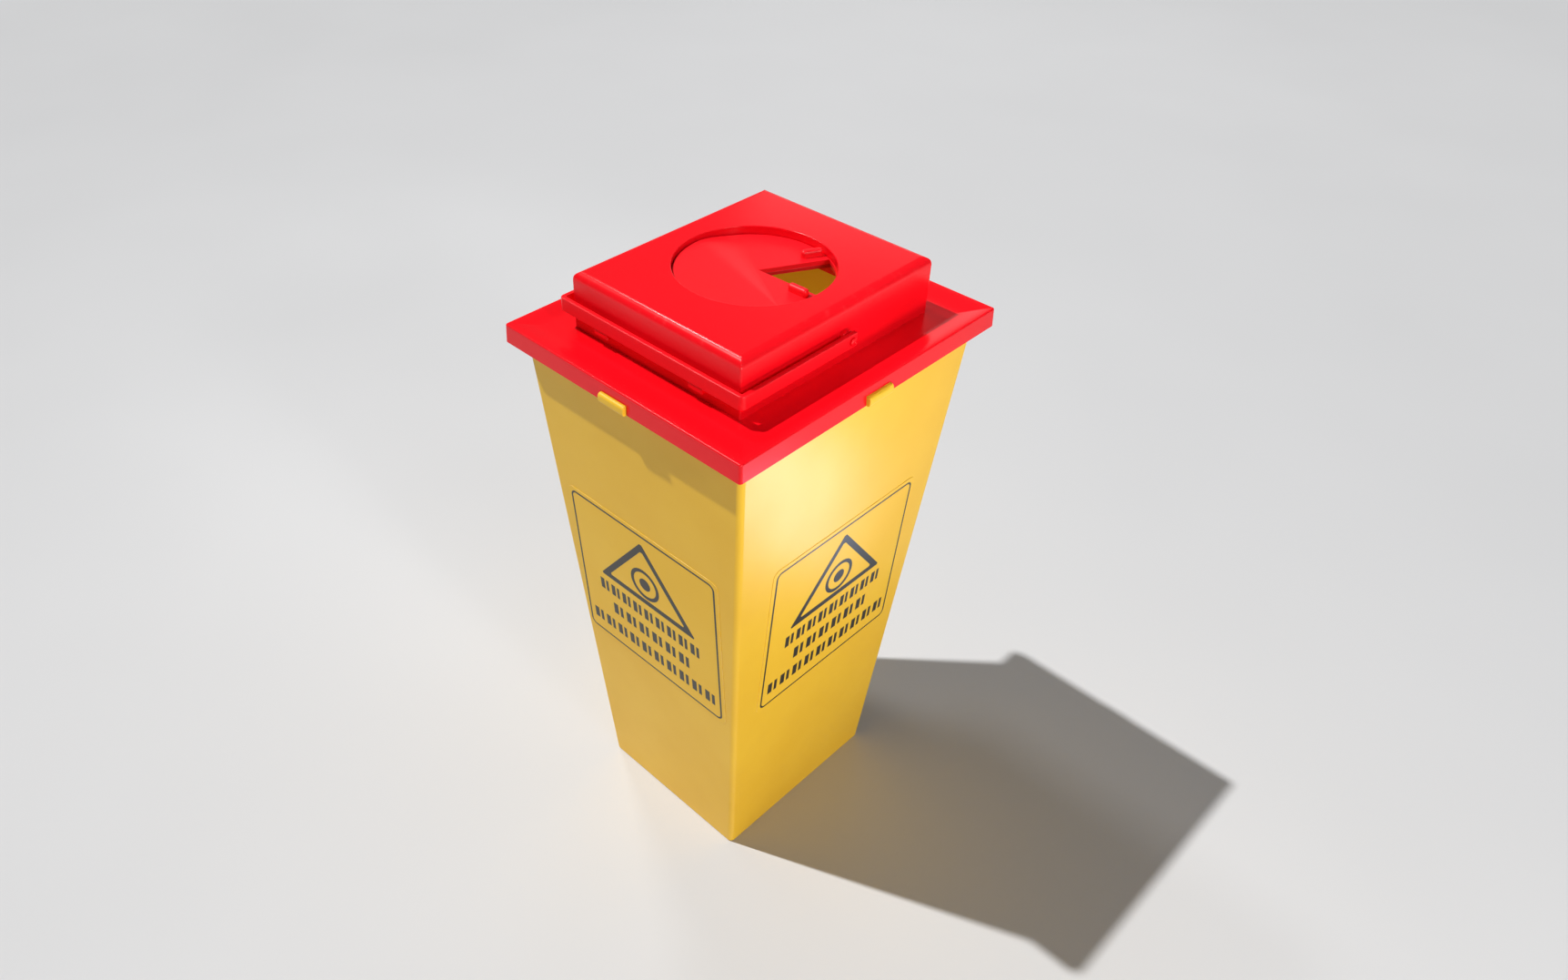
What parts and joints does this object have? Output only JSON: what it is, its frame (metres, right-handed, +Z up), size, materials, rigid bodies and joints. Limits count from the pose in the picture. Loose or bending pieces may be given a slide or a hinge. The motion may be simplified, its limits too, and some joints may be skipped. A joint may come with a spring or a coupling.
{
  "type": "sharps container",
  "caption": "Tapered rectangular sharps bin with a press-fit lid, a raised turret with a turning wedge shutter, and a folding carry bail.",
  "frame": {"origin": "middle of the base, on the floor", "axes": "+Z up; -Y is the front, which the bail rests along; +X and -X are the sides with the bail's pins"},
  "size_m": [0.1812, 0.2076, 0.3884],
  "materials": {
    "yellow_plastic": "injection-moulded polypropylene, satin gloss",
    "red_plastic": "injection-moulded polypropylene, gloss",
    "inner_red_plastic": "injection-moulded polypropylene, unpolished",
    "label": null
  },
  "bodies": {
    "bin": {"bin": "yellow_plastic", "label_front": "label", "label_right": "label", "label_back": "label", "label_left": "label"},
    "lid": {"lid": "red_plastic", "aperture_plate": "inner_red_plastic", "bail_pin_right": "red_plastic", "bail_pin_left": "red_plastic"},
    "shutter": {"shutter": "red_plastic"},
    "bail": {"bail": "red_plastic"}
  },
  "joints": [
    {"name": "lid_lift", "type": "slide", "parent": "bin", "child": "lid", "axis": [0, 0, 1], "range_m": [0, 0.06]},
    {"name": "shutter_turn", "type": "hinge", "parent": "lid", "child": "shutter", "pos_m": [0, 0, 0.3831], "axis": [0, 0, 1], "range_deg": [-75, 0]},
    {"name": "bail_swing", "type": "hinge", "parent": "lid", "child": "bail", "pos_m": [0, 0.002, 0.3693], "axis": [-1, 0, 0], "range_deg": [0, 180]}
  ]
}
